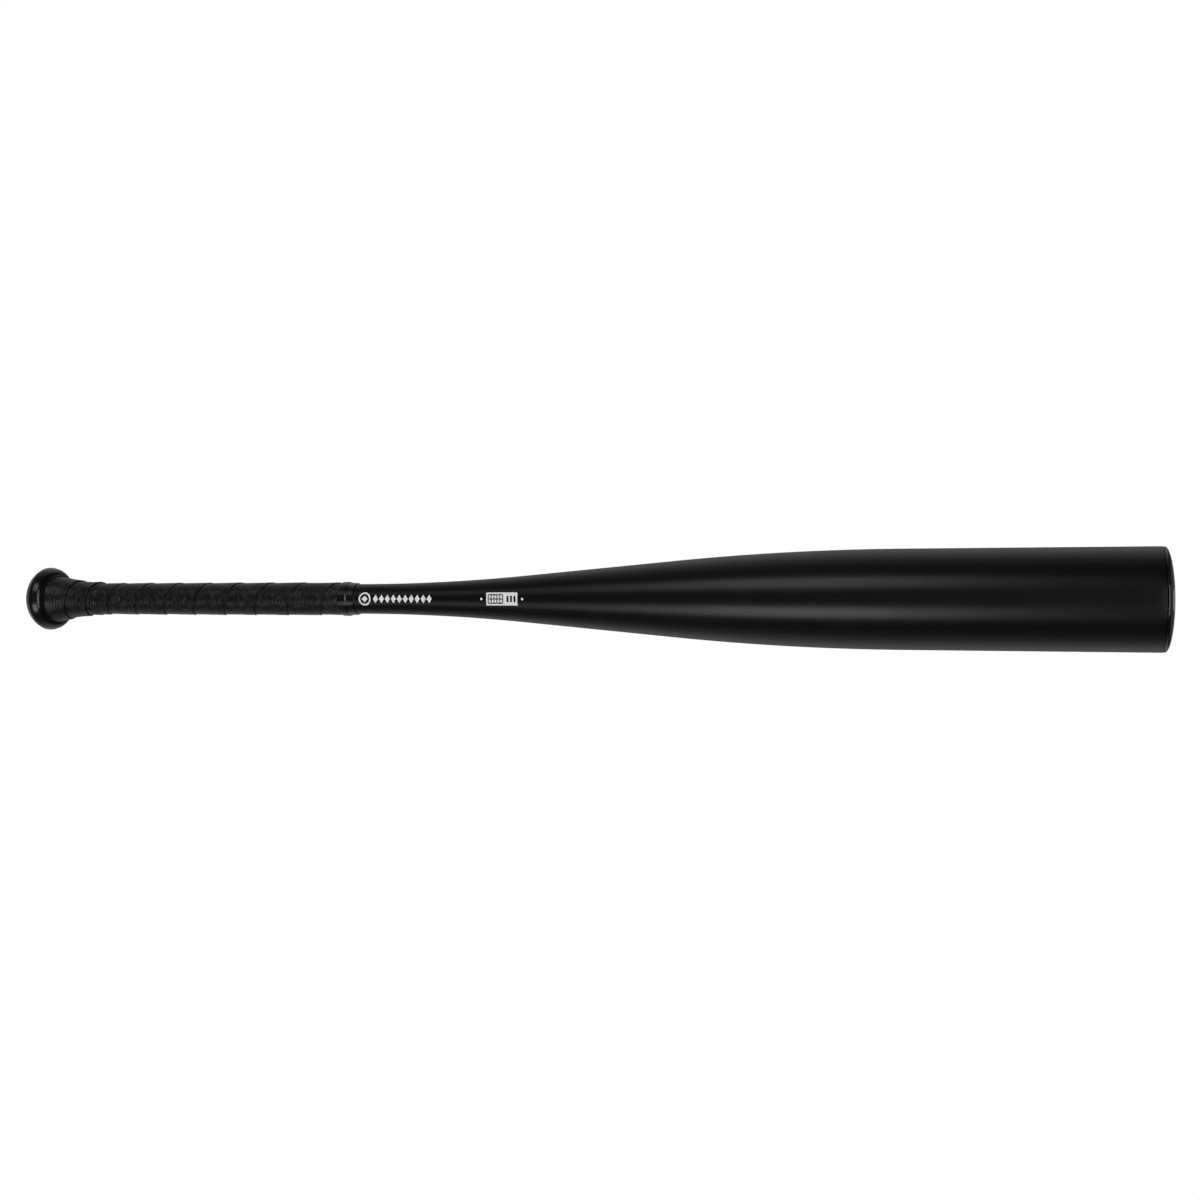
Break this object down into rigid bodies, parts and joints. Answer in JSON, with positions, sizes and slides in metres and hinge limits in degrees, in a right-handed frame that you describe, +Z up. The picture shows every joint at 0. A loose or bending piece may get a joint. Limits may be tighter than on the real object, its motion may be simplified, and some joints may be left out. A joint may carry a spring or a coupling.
{
  "type": "baseball bat",
  "caption": "Black one-piece aluminium baseball bat: taped handle, round knob, long taper, straight barrel and domed end cap.",
  "frame": {"origin": "centre of the knob's flat end face", "axes": "+X along the bat from the knob to the barrel's end cap, +Z up, the printed side faces -Y"},
  "size_m": [0.8382, 0.0666, 0.0666],
  "materials": {
    "tube_finish": "satin black coating on aluminium",
    "knob_finish": "gloss black coating on cast aluminium",
    "bare_weld": "brushed weld bead",
    "plug_rubber": "matt black rubber",
    "disc_plastic": "blank gloss disc",
    "slug_steel": "plain steel",
    "foam_rubber": "open foam rubber",
    "grip_rubber": "embossed soft polymer tape",
    "tape_vinyl": "gloss black vinyl tape",
    "ring_aluminium": "machined aluminium",
    "cap_plastic": "gloss black moulded plastic",
    "adhesive": "cured adhesive",
    "white_ink": "white screen print"
  },
  "bodies": {
    "root": {"bat_tube": "tube_finish", "knob": "knob_finish", "knob_weld": "bare_weld", "knob_plug": "plug_rubber", "size_disc": "disc_plastic", "balance_slug": "slug_steel", "handle_foam": "foam_rubber", "grip_tape": "grip_rubber", "finishing_tape": "tape_vinyl", "stiffening_ring": "ring_aluminium", "end_cap": "cap_plastic", "cap_adhesive": "adhesive", "handle_mark": "white_ink", "rating_patch": "white_ink", "patch_dots": "white_ink"}
  },
  "joints": []
}
